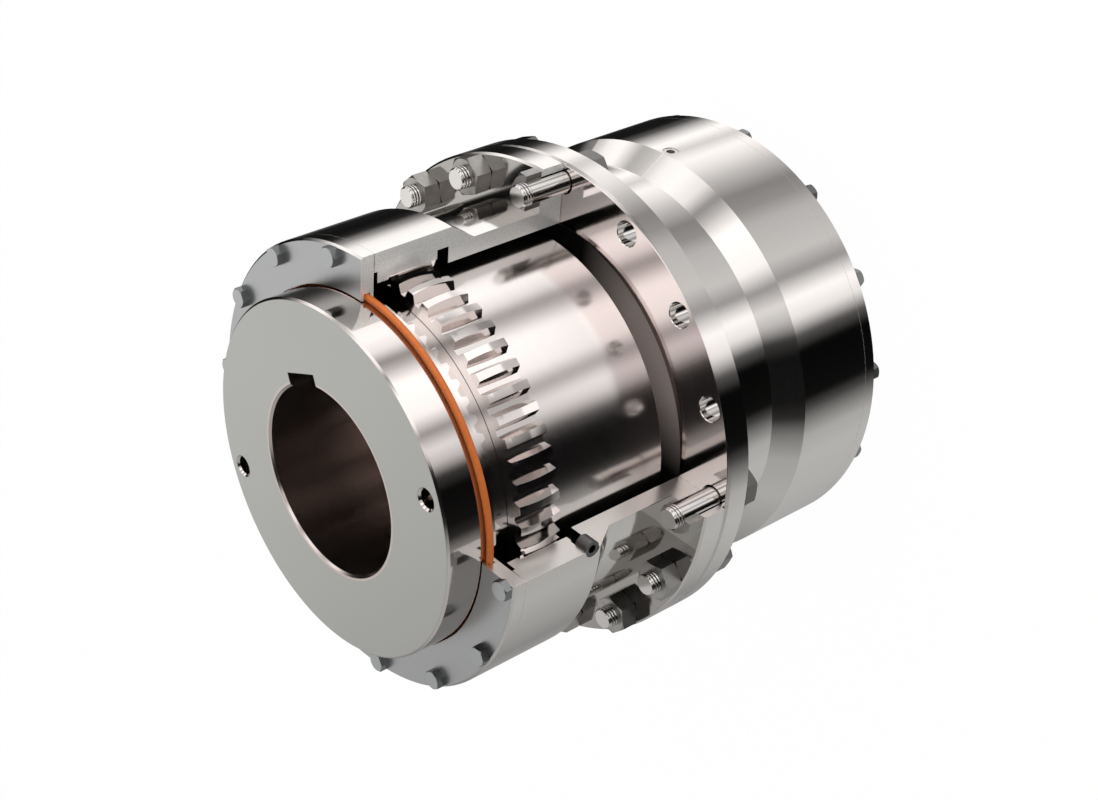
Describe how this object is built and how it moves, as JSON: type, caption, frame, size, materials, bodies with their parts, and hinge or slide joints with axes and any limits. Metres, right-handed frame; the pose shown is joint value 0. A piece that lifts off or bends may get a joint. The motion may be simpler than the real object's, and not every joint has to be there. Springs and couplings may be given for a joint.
{
  "type": "flanged gear coupling",
  "caption": "Flanged double-engagement gear coupling, polished steel, with one half cut open to show crowned hub teeth in a toothed sleeve.",
  "frame": {"origin": "on the coupling's axis, in the outer end face of the rear hub that it stands on", "axes": "+Z along the axis towards the outer face of the front hub, +X towards both keyways, the display cut opens towards -Y"},
  "size_m": [0.224, 0.224, 0.2438],
  "materials": {
    "hub_steel": "finely ground, faces satin",
    "sleeve_steel": "polished",
    "cover_steel": "satin",
    "bolt_steel": "bright",
    "screw_steel": "bright",
    "plug_steel": "blackened",
    "seal_rubber": "smooth orange rubber",
    "gasket_sheet": "thin light grey fibre sheet"
  },
  "bodies": {
    "rear_hub": {"rear_hub": "hub_steel"},
    "sleeves": {"front_sleeve": "sleeve_steel", "rear_sleeve": "sleeve_steel", "front_cover": "cover_steel", "rear_cover": "cover_steel", "front_seal_ring": "seal_rubber", "rear_seal_ring": "seal_rubber", "front_cover_gasket": "gasket_sheet", "rear_cover_gasket": "gasket_sheet", "flange_gasket": "gasket_sheet", "flange_bolts": "bolt_steel", "flange_nuts": "bolt_steel", "front_cover_screws": "screw_steel", "rear_cover_screws": "screw_steel", "front_grease_plugs": "plug_steel", "rear_grease_plugs": "plug_steel"},
    "front_hub": {"front_hub": "hub_steel"}
  },
  "joints": [
    {"name": "sleeve_float", "type": "slide", "parent": "rear_hub", "child": "sleeves", "axis": [0, 0, 1], "range_m": [-0.006, 0.001]},
    {"name": "front_hub_float", "type": "slide", "parent": "sleeves", "child": "front_hub", "axis": [0, 0, 1], "range_m": [-0.006, 0.001]}
  ]
}
